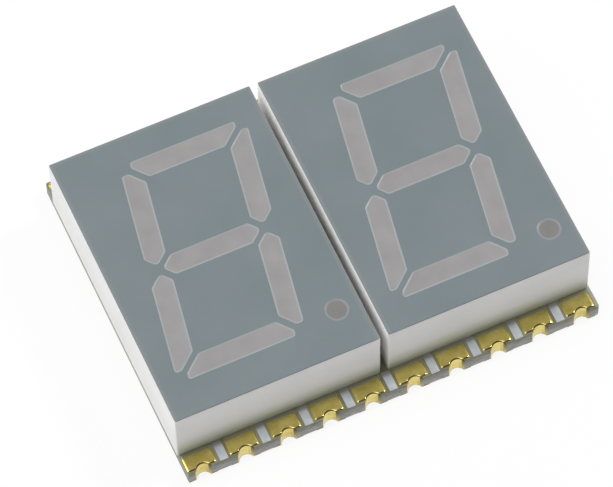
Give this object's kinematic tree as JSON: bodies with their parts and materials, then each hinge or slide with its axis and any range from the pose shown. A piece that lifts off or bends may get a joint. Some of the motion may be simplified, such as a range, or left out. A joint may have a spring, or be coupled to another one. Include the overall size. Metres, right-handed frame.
{
  "type": "alphanumeric led display",
  "caption": "Surface-mount LED display: slanted segments and decimal points in white reflector blocks with grey faces, on a thin board edged with plated half-round terminals.",
  "frame": {"origin": "on the surface that the display stands on, under the middle of its outer box", "axes": "+X along the rows of terminals from terminal 1 to terminal 10, +Y to the tops of the digits, +Z out of the digits' faces"},
  "size_m": [0.0249, 0.02, 0.0052],
  "materials": {
    "board": "glass-epoxy board, pale green, with a satin solder mask and rough cut edges",
    "gold_plating": "gold flash over plated copper, dull on the pads and bright in the notches",
    "white_bar_ink": "thin screen-printed white ink, bluish",
    "white_moulding": "white moulded polycarbonate, satin",
    "grey_face_ink": "matt blue-grey printed ink",
    "segment_epoxy": "cast diffused epoxy, light pinkish grey, satin",
    "point_epoxy": "cast diffused epoxy, grey, satin",
    "bonding_epoxy": "clear bonding epoxy",
    "copper_track": "bare copper",
    "die": "cut semiconductor die",
    "gold_wire": "drawn gold wire"
  },
  "bodies": {
    "root": {"circuit_board": "board", "terminal_01": "gold_plating", "terminal_02": "gold_plating", "terminal_03": "gold_plating", "terminal_04": "gold_plating", "terminal_05": "gold_plating", "terminal_06": "gold_plating", "terminal_07": "gold_plating", "terminal_08": "gold_plating", "terminal_09": "gold_plating", "terminal_10": "gold_plating", "terminal_11": "gold_plating", "terminal_12": "gold_plating", "terminal_13": "gold_plating", "terminal_14": "gold_plating", "terminal_15": "gold_plating", "terminal_16": "gold_plating", "terminal_17": "gold_plating", "terminal_18": "gold_plating", "terminal_19": "gold_plating", "terminal_20": "gold_plating", "front_mask_bars": "white_bar_ink", "rear_mask_bars": "white_bar_ink", "left_reflector": "white_moulding", "left_face_print": "grey_face_ink", "right_reflector": "white_moulding", "right_face_print": "grey_face_ink", "left_segment_a": "segment_epoxy", "left_segment_b": "segment_epoxy", "left_segment_c": "segment_epoxy", "left_segment_d": "segment_epoxy", "left_segment_e": "segment_epoxy", "left_segment_f": "segment_epoxy", "left_segment_g": "segment_epoxy", "right_segment_a": "segment_epoxy", "right_segment_b": "segment_epoxy", "right_segment_c": "segment_epoxy", "right_segment_d": "segment_epoxy", "right_segment_e": "segment_epoxy", "right_segment_f": "segment_epoxy", "right_segment_g": "segment_epoxy", "left_decimal_point": "point_epoxy", "left_bonding_layer": "bonding_epoxy", "left_common_track": "copper_track", "left_signal_tracks": "copper_track", "left_led_dies": "die", "left_bond_wires": "gold_wire", "right_decimal_point": "point_epoxy", "right_bonding_layer": "bonding_epoxy", "right_common_track": "copper_track", "right_signal_tracks": "copper_track", "right_led_dies": "die", "right_bond_wires": "gold_wire"}
  },
  "joints": []
}
